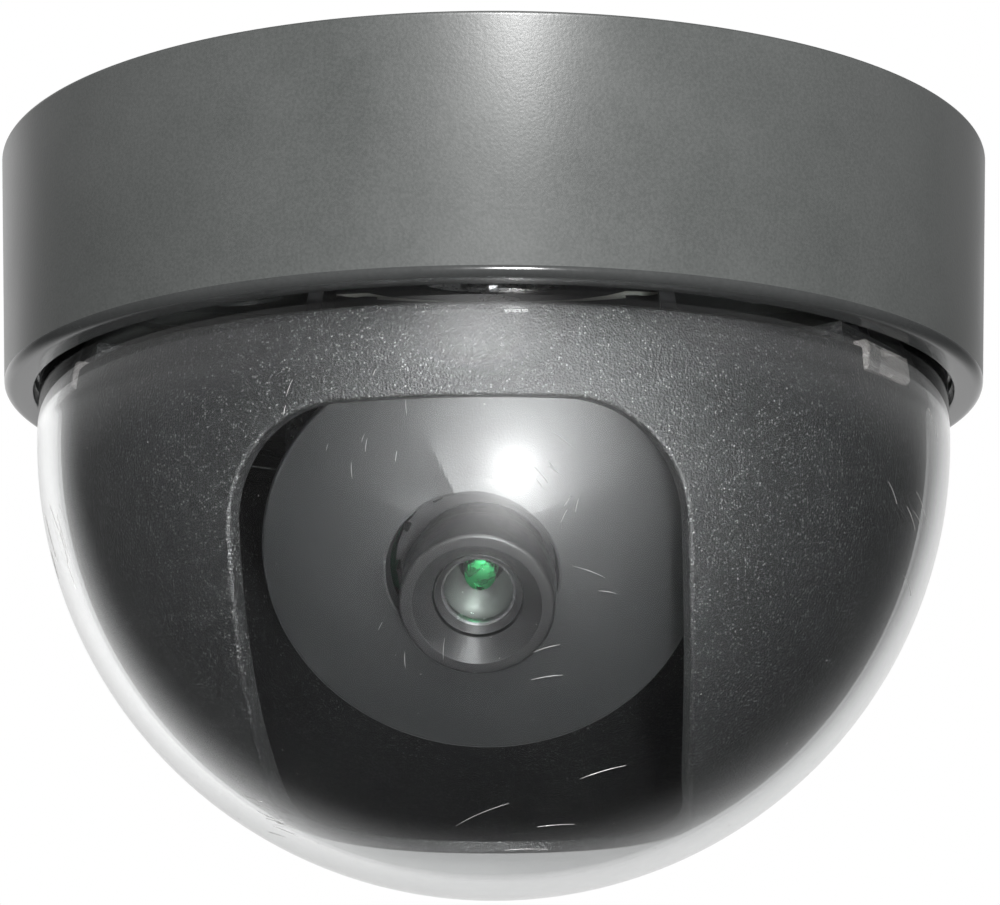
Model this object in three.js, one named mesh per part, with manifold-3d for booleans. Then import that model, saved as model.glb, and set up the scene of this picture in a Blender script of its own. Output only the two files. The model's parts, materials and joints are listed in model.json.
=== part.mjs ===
// Fixed indoor dome camera for a ceiling: a bayonet base, a twist-on housing, a clear dome with a
// slotted liner, and a camera head that pans on a turntable and tilts in a yoke.
// Millimetres, +Z up. The ceiling face is z = 0 and the lens looks towards -Y and down.
import * as THREE from "three";
import { mergeVertices } from "three/addons/utils/BufferGeometryUtils.js";
import Module from "manifold-3d";

const wasm = await Module();
wasm.setup();

const deg = THREE.MathUtils.degToRad;

// ---------- driving dimensions ----------
const GAP = 0.3; // air between neighbours that rest on each other
const RING_STEPS = 40; // facets round the large shells
const SMALL_STEPS = 16; // facets round the small turned pieces
const ARC_STEPS = 8; // facets from the dome's rim to its lowest point

const PIVOT_Z = -28.3; // centre of the dome, and the tilt axis
const TILT_REST = deg(36.5); // lens below the horizontal at rest
const DOME_TURN = deg(-2.2); // slot centre round from the lens at rest

const HOUSING = { topRadius: 50, lowRadius: 49.1, wall: 1.6, floor: -24.2, edge: 1.0 };
const LEDGE = { radius: 46.2, top: -22.4 }; // inner lip that carries the dome flange
const DOME = { radius: 45.75, wall: 2.0, flangeRadius: 47.2, flangeTop: -20.6, flangeLow: -22.1 };
const LINER = { radius: 43.4, wall: 1.7, rim: -25.0 };
const SLOT = { half: 20.5, top: -33.6, corner: 10, bendY: -35.1, endHalf: 19.3, endY: -10, endDepth: 25.2 };
const LUG = { half: 4.0, top: -24.2, low: -27.2, inner: 37.5, angles: [-64, 62, 180] };
const LINER_SCREW = { radius: 40.2, shank: 0.95, head: 1.9 };

const BASE = { radius: 47.2, thick: 2.4, rimOuter: 43.2, rimInner: 41.4, rimLow: -6.5 };
const BAYONET = { angles: [0, 120, 240], lugSpan: 24, tabSpan: 20, lugTop: -4.9, tabTop: -2.9 };
const CABLE = { y: 30, hole: 6.5, bore: 3.2 };
const CEILING_HOLE = { radius: 33, bore: 2.2, head: 4.2, angles: [-90, 30, 150] };

const TURNTABLE = { radius: 21, top: -2.8, low: -5.1 };
const PAN_BOSS = { radius: 4.2, low: -5.6, bore: 1.5 };
const YOKE = { top: -5.4, thick: 1.4, ring: 15, hole: 9, armIn: 17.2, armOut: 18.8, armHalf: 6 };
const EAR = { inner: 14.6, outer: 16.2, half: 5, reach: 26.5 };
const TILT_SCREW = { shank: 1.3, bore: 1.65, head: 3.2, headIn: 19.1, headOut: 20.9, tip: 15.0 };

// Camera head, measured along the optical axis from the tilt axis.
const SHROUD = { radius: 45.4, centre: -15.2, wall: 1.6, rim: 20.7, skirt: 24.0, hole: 8.05, holeX: -0.75 };
const BARREL = { thread: 6.0, flange: 7.1, step: 31, front: 36, back: 17, bore: 4.2, seat: 28 };
const BOARD = { half: 14, hole: 10.5, bore: 1.3, frontLow: 12.0, frontTop: 13.6, rearLow: 4.0, rearTop: 5.4 };

// ---------- solid helpers ----------
// A geometry as a manifold solid, with its shared vertices merged.
function solid(geometry) {
  const bare = geometry.index ? geometry.toNonIndexed() : geometry.clone();
  bare.deleteAttribute("normal");
  bare.deleteAttribute("uv");
  const merged = mergeVertices(bare, 1e-4);
  return new wasm.Manifold(
    new wasm.Mesh({
      numProp: 3,
      vertProperties: merged.getAttribute("position").array,
      triVerts: new Uint32Array(merged.index.array),
    }),
  );
}

// A manifold solid back as a geometry.
function geometryOf(shape) {
  const mesh = shape.getMesh();
  const geometry = new THREE.BufferGeometry();
  geometry.setAttribute("position", new THREE.BufferAttribute(mesh.vertProperties, 3));
  geometry.setIndex(new THREE.BufferAttribute(mesh.triVerts, 1));
  const flat = geometry.toNonIndexed();
  flat.computeVertexNormals();
  return flat;
}

// A solid turned about Z from a closed outline of [radius, z] points.
function turned(outline, steps = SMALL_STEPS) {
  const points = outline.map(([r, z]) => new THREE.Vector2(r, z));
  if (THREE.ShapeUtils.area(points) < 0) points.reverse();
  points.push(points[0].clone());
  return solid(new THREE.LatheGeometry(points, steps).rotateX(Math.PI / 2));
}

// A ring or disc with square edges.
const ring = (inner, outer, low, top, steps = SMALL_STEPS) =>
  turned([[inner, low], [outer, low], [outer, top], [inner, top]], steps);
const disc = (radius, low, top, steps = SMALL_STEPS) => ring(0, radius, low, top, steps);

// A block between two corners.
function block([x0, y0, z0], [x1, y1, z1]) {
  const size = [Math.abs(x1 - x0), Math.abs(y1 - y0), Math.abs(z1 - z0)];
  const middle = [(x0 + x1) / 2, (y0 + y1) / 2, (z0 + z1) / 2];
  return solid(new THREE.BoxGeometry(...size).translate(...middle));
}

// An outline in X and Y carried up from z = low to z = top.
function raised(shape, low, top, steps = 6) {
  const options = { depth: top - low, bevelEnabled: false, curveSegments: steps };
  return solid(new THREE.ExtrudeGeometry(shape, options).translate(0, 0, low));
}

// The points of an arc in the [radius, z] plane about [0, centre], between two polar angles.
function arc(radius, from, to, steps, centre = 0) {
  return Array.from({ length: steps + 1 }, (_, i) => {
    const angle = from + ((to - from) * i) / steps;
    return [Math.max(0, radius * Math.cos(angle)), centre + radius * Math.sin(angle)];
  });
}

// A block that spans an angle of a ring, for bayonet lugs and snap tabs.
function sector(inner, outer, low, top, centreDeg, spanDeg) {
  const start = deg(centreDeg - spanDeg / 2);
  const end = deg(centreDeg + spanDeg / 2);
  const shape = new THREE.Shape();
  shape.absarc(0, 0, outer, start, end, false);
  shape.absarc(0, 0, inner, end, start, true);
  return raised(shape, low, top, 6);
}

const joined = (first, ...others) => others.reduce((sum, next) => sum.add(next), first);
const cut = (first, ...others) => others.reduce((rest, next) => rest.subtract(next), first);

// A piece turned round Z, or laid with its axis along X.
const aroundZ = (shape, degrees) => shape.rotate([0, 0, degrees]);
const alongX = (shape) => shape.rotate([0, 90, 0]);

// ---------- finishes ----------
const FINISH = {
  charcoal: { color: 0x3a3b3b, roughness: 0.42, metalness: 0.0 },
  liner: { color: 0x303232, roughness: 0.6, metalness: 0.0 },
  shroud: { color: 0x2b2d2e, roughness: 0.55, metalness: 0.0 },
  clear: { color: 0xe8ecec, roughness: 0.05, metalness: 0.0, transparent: true, opacity: 0.3 },
  whitePlastic: { color: 0xd8d8d2, roughness: 0.5, metalness: 0.0 },
  blackMetal: { color: 0x17181a, roughness: 0.4, metalness: 0.6 },
  steel: { color: 0xb9bcbd, roughness: 0.3, metalness: 1.0 },
  blackSteel: { color: 0x2a2a2c, roughness: 0.4, metalness: 0.9 },
  brass: { color: 0xb39250, roughness: 0.35, metalness: 1.0 },
  rubber: { color: 0x141414, roughness: 0.9, metalness: 0.0 },
  glass: { color: 0x1e4a34, roughness: 0.03, metalness: 0.0 },
  circuit: { color: 0x1c5a3a, roughness: 0.5, metalness: 0.0 },
  chip: { color: 0x151617, roughness: 0.6, metalness: 0.0 },
  acetal: { color: 0xbfc0b8, roughness: 0.45, metalness: 0.0 },
};

function piece(group, name, shape, finish) {
  const mesh = new THREE.Mesh(geometryOf(shape), new THREE.MeshStandardMaterial(FINISH[finish]));
  mesh.name = name;
  group.add(mesh);
  return mesh;
}

// A screw along Z with its head below its shank, and a cross recess in the head.
function screw({ shank, head, headLow, headTop, tip }) {
  const chamfer = (headTop - headLow) * 0.35;
  const body = turned([
    [0, headLow], [head - chamfer, headLow], [head, headLow + chamfer],
    [head, headTop], [shank, headTop], [shank, tip - shank], [shank * 0.4, tip], [0, tip],
  ], 10);
  const deep = headLow + (headTop - headLow) * 0.5;
  const arm = head * 0.55;
  const width = head * 0.14;
  return cut(body, block([-arm, -width, headLow - 1], [arm, width, deep]),
    block([-width, -arm, headLow - 1], [width, arm, deep]));
}

// ---------- base ----------
function basePlate() {
  const { radius, thick, rimOuter, rimInner, rimLow } = BASE;
  const plate = turned([
    [0, 0], [0, -thick], [rimInner, -thick], [rimInner, rimLow],
    [rimOuter, rimLow], [rimOuter, -thick], [radius, -thick], [radius, -0.4], [radius - 0.4, 0],
  ], RING_STEPS);
  const lugs = BAYONET.angles.map((angle) =>
    sector(rimOuter - 0.8, 46.2, rimLow, BAYONET.lugTop, angle, BAYONET.lugSpan));
  const boss = disc(PAN_BOSS.radius, PAN_BOSS.low, -thick + 0.2);
  const pilot = disc(PAN_BOSS.bore, PAN_BOSS.low - 1, -1.9);
  const inlet = disc(CABLE.hole, -thick - 1, 1).translate([0, CABLE.y, 0]);
  const fixings = CEILING_HOLE.angles.map((angle) => {
    const hole = joined(disc(CEILING_HOLE.bore, -thick - 1, 1), disc(CEILING_HOLE.head, -thick - 1, -1.4));
    return aroundZ(hole.translate([CEILING_HOLE.radius, 0, 0]), angle);
  });
  return cut(joined(plate, ...lugs, boss), pilot, inlet, ...fixings);
}

function cableGrommet() {
  const { bore, hole, y } = CABLE;
  const body = hole - GAP;
  const under = -BASE.thick - GAP;
  return turned([
    [bore, -0.2], [bore, under - 1.3], [body + 1.0, under - 1.3], [body + 1.5, under - 0.8],
    [body + 1.5, under], [body, under], [body, -0.2],
  ], 20).translate([0, y, 0]);
}

function panScrew() {
  const flange = disc(7.5, -7.0, -6.2);
  const body = screw({ shank: 1.2, head: 3.6, headLow: -8.7, headTop: -6.6, tip: -2.2 });
  return joined(flange, body);
}

const panWasher = () => ring(PAN_BOSS.radius + 0.4, 8.2, -5.9, -5.4, 20);

// ---------- housing ----------
function housingCover() {
  const { topRadius, lowRadius, wall, floor, edge } = HOUSING;
  const inner = lowRadius - wall + 0.1;
  const shell = turned([
    [topRadius - wall - 0.4, 0], [inner, LEDGE.top], [LEDGE.radius, LEDGE.top], [LEDGE.radius, floor],
    ...arc(edge, -Math.PI / 2, 0, 3).map(([r, z]) => [lowRadius - edge + r, floor + edge + z]),
    [topRadius, -0.4], [topRadius - 0.4, 0],
  ], RING_STEPS);
  const bayonetTabs = BAYONET.angles.map((angle) =>
    sector(44.0, 48.6, BAYONET.lugTop + GAP, BAYONET.tabTop, angle, BAYONET.tabSpan));
  const snapTabs = [60, 180, 300].map((angle) => sector(45.4, 48.2, -17.3, -15.9, angle, 16));
  return joined(shell, ...bayonetTabs, ...snapTabs);
}

const retainingRing = () => ring(43.6, 46.9, -19.0, -17.6, RING_STEPS);
const domeGasket = () =>
  turned([[45.1, -20.3], [46.3, -20.3], [46.7, -19.8], [46.3, -19.3], [45.1, -19.3]], RING_STEPS);

// ---------- dome and liner ----------
// A block at a lug's angle, given across, radially and in height.
const atLug = (angle, half, near, far, low, top) =>
  aroundZ(block([-half, -far, low], [half, -near, top]), angle);
const lugBore = (angle, radius, low, top) =>
  aroundZ(disc(radius, low, top, 12).translate([0, -LINER_SCREW.radius, 0]), angle);

function domeWindow() {
  const { radius, wall, flangeRadius, flangeTop, flangeLow } = DOME;
  const inside = radius - wall;
  const shell = turned([
    ...arc(radius, -Math.PI / 2, 0, ARC_STEPS, PIVOT_Z),
    [radius, flangeLow], [flangeRadius, flangeLow], [flangeRadius, flangeTop], [inside, flangeTop],
    ...arc(inside, 0, -Math.PI / 2, ARC_STEPS, PIVOT_Z),
  ], RING_STEPS);
  const lugs = LUG.angles.map((a) => atLug(a, LUG.half, LUG.inner, inside + 0.6, LUG.low, LUG.top));
  const bores = LUG.angles.map((a) => lugBore(a, LINER_SCREW.shank + GAP, LUG.low + 0.5, LUG.top + 1));
  return cut(joined(shell, ...lugs), ...bores);
}

function slotCutter() {
  const { half, top, corner, bendY, endHalf, endY, endDepth } = SLOT;
  const low = PIVOT_Z - LINER.radius - 5;
  const reach = LINER.radius + 5;
  // Seen from the front, an opening with two round top corners.
  const front = new THREE.Shape();
  front.moveTo(-half, low);
  front.lineTo(half, low);
  front.lineTo(half, top - corner);
  front.absarc(half - corner, top - corner, corner, 0, Math.PI / 2, false);
  front.absarc(-half + corner, top - corner, corner, Math.PI / 2, Math.PI, false);
  // Seen from below, sides that draw in a little and a half-oval end behind the lowest point.
  const plan = new THREE.Shape();
  plan.moveTo(-half, -reach);
  plan.lineTo(half, -reach);
  plan.lineTo(half, bendY);
  plan.bezierCurveTo(half, -26, endHalf, -18, endHalf, endY);
  plan.absellipse(0, endY, endHalf, endDepth, 0, Math.PI, false);
  plan.bezierCurveTo(-endHalf, -18, -half, -26, -half, bendY);
  return raised(front, -endDepth, reach, 8).rotate([90, 0, 0]).intersect(raised(plan, low, top + 1, 20));
}

function linerShroud() {
  const { radius, wall, rim } = LINER;
  const inside = radius - wall;
  const shell = turned([
    ...arc(radius, -Math.PI / 2, 0, ARC_STEPS, PIVOT_Z), [radius, rim], [inside, rim],
    ...arc(inside, 0, -Math.PI / 2, ARC_STEPS, PIVOT_Z),
  ], RING_STEPS);
  const windowHalf = LUG.half + 0.4;
  const earTop = LUG.top + GAP + 1.3;
  const ears = LUG.angles.map((a) => atLug(a, windowHalf + 2.1, LUG.inner, radius - 1.0, LUG.low - 2, earTop));
  const outside = turned([...arc(radius, -Math.PI / 2, 0, ARC_STEPS, PIVOT_Z), [radius, 0], [0, 0]], RING_STEPS);
  const earFills = ears.map((ear) => ear.intersect(outside));
  const windows = LUG.angles.map((a) =>
    atLug(a, windowHalf, LUG.inner - 5, radius + 5, LUG.low - GAP, LUG.top + GAP));
  const clearances = LUG.angles.map((a) =>
    atLug(a, windowHalf + 5, LUG.inner - 5, inside - 0.6, LUG.low - 6, LUG.top + GAP));
  const bores = LUG.angles.map((a) => lugBore(a, LINER_SCREW.shank + GAP, LUG.low, earTop + 1));
  return cut(joined(cut(joined(...earFills), ...clearances), shell), ...windows, ...bores, slotCutter());
}

function linerScrew(angle) {
  const seat = LUG.top + GAP + 1.3 + GAP;
  const upright = screw({
    shank: LINER_SCREW.shank, head: LINER_SCREW.head, headLow: -seat - 1.4, headTop: -seat,
    tip: -(LUG.low + 0.9),
  }).rotate([180, 0, 0]);
  return aroundZ(upright.translate([0, -LINER_SCREW.radius, 0]), angle);
}

// ---------- turntable and yoke ----------
const YOKE_SCREW_Y = 12;

function panTurntable() {
  const { radius, top, low } = TURNTABLE;
  const plate = turned([
    [PAN_BOSS.radius + 0.4, top], [PAN_BOSS.radius + 0.4, low], [radius, low],
    [radius, top - 0.5], [radius - 0.5, top],
  ], 28);
  const pilots = [-1, 1].map((s) => disc(1.4, low - 1, top - 0.7, 8).translate([0, s * YOKE_SCREW_Y, 0]));
  const thumbNotches = [45, 135, 225, 315].map((a) =>
    aroundZ(disc(1.6, low - 1, top + 1, 8).translate([radius, 0, 0]), a));
  return cut(plate, ...pilots, ...thumbNotches);
}

function yokeBracket() {
  const { top, thick, ring: ringRadius, hole, armIn, armOut, armHalf } = YOKE;
  const low = top - thick;
  const crown = joined(disc(ringRadius, low, top, 28), block([-armOut, -armHalf, low], [armOut, armHalf, top]));
  const outline = new THREE.Shape();
  outline.moveTo(armHalf, top);
  outline.lineTo(-armHalf, top);
  outline.lineTo(-armHalf, PIVOT_Z);
  outline.absarc(0, PIVOT_Z, armHalf, Math.PI, 2 * Math.PI, false);
  const bore = new THREE.Path().absarc(0, PIVOT_Z, TILT_SCREW.bore, 0, 2 * Math.PI, true);
  outline.holes.push(bore);
  const arm = (side) => {
    const near = side > 0 ? armIn : -armOut;
    return raised(outline, near, near + armOut - armIn, 10).rotate([90, 0, 90]);
  };
  const screwHoles = [-1, 1].map((s) => disc(1.4, low - 1, top + 1, 8).translate([0, s * YOKE_SCREW_Y, 0]));
  return cut(joined(crown, arm(-1), arm(1)), disc(hole, low - 1, top + 1, 20), ...screwHoles);
}

function yokeScrew(side) {
  const seat = YOKE.top - YOKE.thick - GAP;
  return screw({ shank: 1.05, head: 2.3, headLow: seat - 1.4, headTop: seat, tip: TURNTABLE.top - 1.1 })
    .translate([0, side * YOKE_SCREW_Y, 0]);
}

// ---------- camera head, in its own frame: +Z is the optical axis, +X the tilt axis ----------
function cameraShroud() {
  const { radius, centre, wall, rim, skirt, hole, holeX } = SHROUD;
  const inside = radius - wall;
  const cap = turned([
    ...arc(radius, Math.acos(rim / radius), Math.PI / 2, 6, centre),
    ...arc(inside, Math.PI / 2, Math.acos((rim - wall) / inside), 6, centre),
    [rim - wall, skirt], [rim, skirt],
  ], 32);
  const lensHole = disc(hole, skirt, skirt + 10, 32).translate([holeX, 0, 0]);
  const earOutline = new THREE.Shape();
  earOutline.moveTo(-EAR.half, EAR.reach);
  earOutline.lineTo(-EAR.half, 0);
  earOutline.absarc(0, 0, EAR.half, Math.PI, 2 * Math.PI, false);
  earOutline.lineTo(EAR.half, EAR.reach);
  earOutline.holes.push(new THREE.Path().absarc(0, 0, TILT_SCREW.bore, 0, 2 * Math.PI, true));
  const ear = (side) => {
    const near = side > 0 ? EAR.inner : -EAR.outer;
    return raised(earOutline, near, near + EAR.outer - EAR.inner, 8).rotate([90, 0, 90]);
  };
  const corners = boardCorners();
  const posts = corners.map(([x, y]) => disc(2.0, BOARD.frontTop + GAP, 26.8, 10).translate([x, y, 0]));
  const pilots = corners.map(([x, y]) => disc(1.2, BOARD.frontTop, 21, 8).translate([x, y, 0]));
  return cut(joined(cap, ear(-1), ear(1), ...posts), lensHole, ...pilots);
}

const boardCorners = () => [[-1, -1], [1, -1], [1, 1], [-1, 1]].map(([x, y]) => [x * BOARD.hole, y * BOARD.hole]);

function board(low, top) {
  const { half, bore } = BOARD;
  const holes = boardCorners().map(([x, y]) => disc(bore, low - 1, top + 1, 8).translate([x, y, 0]));
  return cut(block([-half, -half, low], [half, half, top]), ...holes);
}

function tiltScrew(side) {
  const { shank, head, headIn, headOut, tip } = TILT_SCREW;
  const upright = screw({ shank, head, headLow: -headOut, headTop: -headIn, tip: -tip });
  return side > 0 ? upright.rotate([0, -90, 0]) : upright.rotate([0, 90, 0]);
}

const tiltWasher = (side) =>
  alongX(ring(TILT_SCREW.bore, 4.2, 16.5, 16.9)).rotate([0, side > 0 ? 0 : 180, 0]);

function lensHolder() {
  const foot = BOARD.frontTop + GAP;
  const base = block([-7.5, -7.5, foot], [7.5, 7.5, foot + 1.6]);
  const tube = disc(7.6, foot + 0.8, 25, 24);
  return cut(joined(base, tube), disc(BARREL.thread + GAP, foot + 1.6, 26, 24), disc(5.2, foot - 1, 20, 20));
}

function focusLockRing() {
  const outer = 8.0;
  const grip = ring(BARREL.thread + GAP, outer, 25.3, 27.3, 24);
  const notches = Array.from({ length: 12 }, (_, i) =>
    aroundZ(block([outer - 0.5, -0.5, 25], [outer + 1, 0.5, 28]), i * 30));
  return cut(grip, ...notches);
}

function lensBarrel() {
  const { thread, flange, step, front, back, bore, seat } = BARREL;
  return turned([
    [thread, back], [thread, step], [flange, step], [flange, front - 0.4], [flange - 0.4, front],
    [5.9, front], [bore, front - 1.9], [bore, seat], [3.4, seat], [3.4, 19.5],
    [4.8, 19.5], [4.8, back],
  ], 24);
}

function frontElement() {
  const crown = 33;
  const curve = 5;
  const rim = BARREL.bore - GAP;
  const low = BARREL.seat + GAP;
  return turned([[0, low], [rim, low], ...arc(curve, Math.acos(rim / curve), Math.PI / 2, 4, crown - curve)], 20);
}

// The retainer's dished face carries the barrel's own dish inward.
const lensRetainer = () => turned([[3.2, 32.3], [3.9, 32.3], [3.9, 33.75], [3.4, 33.2], [3.2, 33.1]], 24);
const apertureStop = () => ring(1.2, 3.1, 24.0, 24.6, 20);
const rearElement = () => turned([[0, 20.2], [2.4, 20.6], [3.1, 21.2], [3.1, 22.4], [0, 22.4]], 20);

function boardScrew([x, y]) {
  const seat = BOARD.rearLow - GAP;
  return screw({ shank: 0.85, head: 1.9, headLow: seat - 1.5, headTop: seat, tip: 20.4 }).translate([x, y, 0]);
}

const boardSpacer = ([x, y]) => ring(1.2, 2.1, BOARD.rearTop + GAP, BOARD.frontLow - GAP, 10).translate([x, y, 0]);

// ---------- assembly ----------
const root = new THREE.Group();
root.name = "dome_cctv_camera";
const newGroup = (parent) => {
  const group = new THREE.Group();
  parent.add(group);
  return group;
};

const base = newGroup(root);
piece(base, "base_plate", basePlate(), "charcoal");
piece(base, "cable_grommet", cableGrommet(), "rubber");
piece(base, "pan_screw", panScrew(), "steel");
piece(base, "pan_washer", panWasher(), "acetal");

const housing = newGroup(root);
piece(housing, "housing_cover", housingCover(), "charcoal");
piece(housing, "dome_retaining_ring", retainingRing(), "charcoal");
piece(housing, "dome_gasket", domeGasket(), "rubber");

const dome = newGroup(root);
dome.rotation.z = DOME_TURN;
piece(dome, "dome_window", domeWindow(), "clear");
piece(dome, "liner_shroud", linerShroud(), "liner");
LUG.angles.forEach((angle, i) => piece(dome, `liner_screw_${i + 1}`, linerScrew(angle), "blackSteel"));

const turntable = newGroup(root);
piece(turntable, "pan_turntable", panTurntable(), "acetal");
piece(turntable, "yoke_bracket", yokeBracket(), "blackMetal");
piece(turntable, "yoke_screw_front", yokeScrew(-1), "steel");
piece(turntable, "yoke_screw_rear", yokeScrew(1), "steel");

const head = newGroup(root);
head.position.z = PIVOT_Z;
head.rotation.x = Math.PI / 2 + TILT_REST;
piece(head, "camera_shroud", cameraShroud(), "shroud");
[[-1, "left"], [1, "right"]].forEach(([side, name]) => {
  piece(head, `tilt_screw_${name}`, tiltScrew(side), "steel");
  piece(head, `tilt_washer_${name}`, tiltWasher(side), "acetal");
});
piece(head, "sensor_board", board(BOARD.frontLow, BOARD.frontTop), "circuit");
piece(head, "power_board", board(BOARD.rearLow, BOARD.rearTop), "circuit");
boardCorners().forEach((corner, i) => {
  piece(head, `board_screw_${i + 1}`, boardScrew(corner), "steel");
  piece(head, `board_spacer_${i + 1}`, boardSpacer(corner), "brass");
});
const onFront = BOARD.frontTop + GAP;
const onRear = BOARD.rearTop + GAP;
const behind = BOARD.rearLow - GAP;
piece(head, "image_sensor", block([-3.4, -3.0, onFront], [3.4, 3.0, onFront + 1.1]), "chip");
piece(head, "ir_filter", block([-3.6, -3.6, 15.9], [3.6, 3.6, 16.5]), "glass");
piece(head, "video_processor", block([-4.5, 0, onRear], [4.5, 9, onRear + 1.2]), "chip");
piece(head, "board_header", block([-6, -11, onRear], [6, -8.4, BOARD.frontLow - GAP]), "chip");
piece(head, "cable_socket", block([-8, -8, behind - 4.2], [2, -3.2, behind]), "whitePlastic");
piece(head, "filter_capacitor", disc(2.5, behind - 5.4, behind, 18).translate([6, 4, 0]), "blackMetal");
piece(head, "oscillator", block([-7, 3, behind - 1.8], [-1, 5.4, behind]), "steel");
piece(head, "lens_holder", lensHolder(), "blackMetal");
piece(head, "focus_lock_ring", focusLockRing(), "blackMetal");
piece(head, "lens_barrel", lensBarrel(), "blackMetal");
piece(head, "front_element", frontElement(), "glass");
piece(head, "lens_retainer", lensRetainer(), "blackMetal");
piece(head, "aperture_stop", apertureStop(), "blackMetal");
piece(head, "rear_element", rearElement(), "glass");

export default root;
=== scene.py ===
import json
import math
import random

import bmesh
import bpy
import numpy as np
from mathutils import Matrix, Vector

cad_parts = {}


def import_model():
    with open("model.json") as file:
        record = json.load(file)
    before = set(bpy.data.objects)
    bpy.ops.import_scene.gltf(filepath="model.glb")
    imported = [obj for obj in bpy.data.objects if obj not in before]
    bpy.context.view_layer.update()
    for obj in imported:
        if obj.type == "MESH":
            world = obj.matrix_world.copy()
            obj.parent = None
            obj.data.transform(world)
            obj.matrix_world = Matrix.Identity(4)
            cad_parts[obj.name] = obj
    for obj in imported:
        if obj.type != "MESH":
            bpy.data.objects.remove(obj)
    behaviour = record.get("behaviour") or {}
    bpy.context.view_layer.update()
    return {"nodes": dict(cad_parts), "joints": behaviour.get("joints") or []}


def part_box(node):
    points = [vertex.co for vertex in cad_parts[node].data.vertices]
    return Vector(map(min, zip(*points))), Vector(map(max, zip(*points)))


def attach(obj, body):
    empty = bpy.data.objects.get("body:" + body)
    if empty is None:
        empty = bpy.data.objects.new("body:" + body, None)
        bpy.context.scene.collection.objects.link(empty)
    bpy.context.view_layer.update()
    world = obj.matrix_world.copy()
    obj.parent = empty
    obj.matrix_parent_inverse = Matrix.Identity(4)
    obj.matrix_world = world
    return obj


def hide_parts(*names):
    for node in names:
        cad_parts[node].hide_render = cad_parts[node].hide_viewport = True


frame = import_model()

# Looks for a ceiling dome camera. Shapes are built in millimetres in the frame's own axes, with
# the ceiling face at z = 0 and the lens towards -Y, and are scaled to metres as meshes are made.

MM = 0.001
TAU = 2 * math.pi

joints = {j["name"]: j for j in frame["joints"]}
PIVOT_Z = joints["camera_tilt"]["pos_m"][2] / MM
OPTICAL = Vector(joints["focus_advance"]["axis"]).normalized()


def middle(node):
    low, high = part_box(node)
    return (low + high) / 2 / MM


rear_screw = middle("liner_screw_3")
SLOT_TURN = -math.atan2(rear_screw.x, rear_screw.y)  # the slot's angle round Z from the lens

# Places that pieces are built in: the dome turned to its slot, and the head along its lens.
DOME = Matrix.Rotation(SLOT_TURN, 4, "Z")
HEAD_X = Vector((1, 0, 0))
HEAD = Matrix.Translation((0, 0, PIVOT_Z)) @ Matrix(
    (HEAD_X, OPTICAL.cross(HEAD_X), OPTICAL)).transposed().to_4x4()
ROW = Matrix.Identity(4)

# ---------------------------------------------------------------- dimensions, mm
BAYONET_TAB = dict(inner=44.0, outer=48.4, low=-4.6, top=-2.9, span=20, angles=(90, 210, 330))
SNAP = dict(inner=45.4, outer=48.0, low=-17.3, top=-15.9, span=16, angles=(150, 270, 30))
HOUSING = dict(top=50.0, low=49.1, wall=1.6, floor=-24.2, edge=1.0, lip=46.2, ledge=-22.4)
BUBBLE = dict(radius=45.75, wall=2.0, flange=47.2, flange_top=-20.6, flange_low=-22.1)
LINER = dict(radius=43.4, wall=1.7, rim=-25.0)
SLOT = dict(half=20.5, top=-33.6, corner=10.0, bend_y=-35.1, bend_pull=26.0, end_half=19.3,
            end_y=-10.0, end_pull=18.0, end_depth=25.2)
LUG = dict(half=4.0, top=-24.2, low=-27.2, inner=37.5, gap=0.4)
LUG_ANGLES = [math.radians(a) for a in (-64, 62, 180)]
SHROUD = dict(radius=45.4, centre=-15.2, wall=1.6, rim=20.7, skirt=24.0, hole=8.05, hole_x=-0.75)
FACETS = dict(upper=(99, 115), left=(131, 157), right=(48, 16), upper_drop=0.17, left_drop=0.15,
              whole=1.5, fade=7.0)
EAR = dict(inner=14.6, outer=16.2, half=5.0, reach=26.5)
POST = dict(radius=2.0, offset=10.5, low=13.9, top=26.7)
BARREL = dict(thread=6.0, flange=7.1, step=31.0, front=36.0, back=17.0, bore=4.2, seat=28.0,
              dish=5.9, dish_depth=1.9, stop=1.3, stop_top=28.9, stop_low=28.4, sleeve=4.8,
              sleeve_top=19.5, seat_hole=3.4)
RETAINER = dict(inner=3.2, outer=4.05, low=32.3, top=33.93, crease=3.42)
FRONT_GLASS = dict(crown=33.0, curve=5.0, rim=3.85, back=31.0)
COATED_GLASS = dict(crown=30.25, curve=2.6, rim=1.05, back=28.4)


# ---------------------------------------------------------------- mesh helpers
def rounded(corners, steps=6):
    """Turns [x, y, fillet radius] corners of a closed outline into points with round corners."""
    points = []
    count = len(corners)
    for i, (x, y, radius) in enumerate(corners):
        here = Vector((x, y))
        before = Vector(corners[i - 1][:2]) - here
        after = Vector(corners[(i + 1) % count][:2]) - here
        if radius <= 0:
            points.append(here)
            continue
        half = before.angle(after) / 2
        reach = min(radius / math.tan(half), 0.49 * before.length, 0.49 * after.length)
        size = reach * math.tan(half)
        a, b = before.normalized(), after.normalized()
        centre = here + (a + b).normalized() * (size / math.sin(half))
        start, end = here + a * reach - centre, here + b * reach - centre
        sweep = start.angle_signed(end)
        for k in range(steps + 1):
            points.append(centre + Matrix.Rotation(-sweep * k / steps, 2) @ start)
    return points


def arc(radius, start, end, steps, centre=(0.0, 0.0)):
    """Points on a circle in an outline, angles in degrees."""
    angles = [math.radians(start + (end - start) * k / steps) for k in range(steps + 1)]
    return [Vector((centre[0] + radius * math.cos(a), centre[1] + radius * math.sin(a))) for a in angles]


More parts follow.
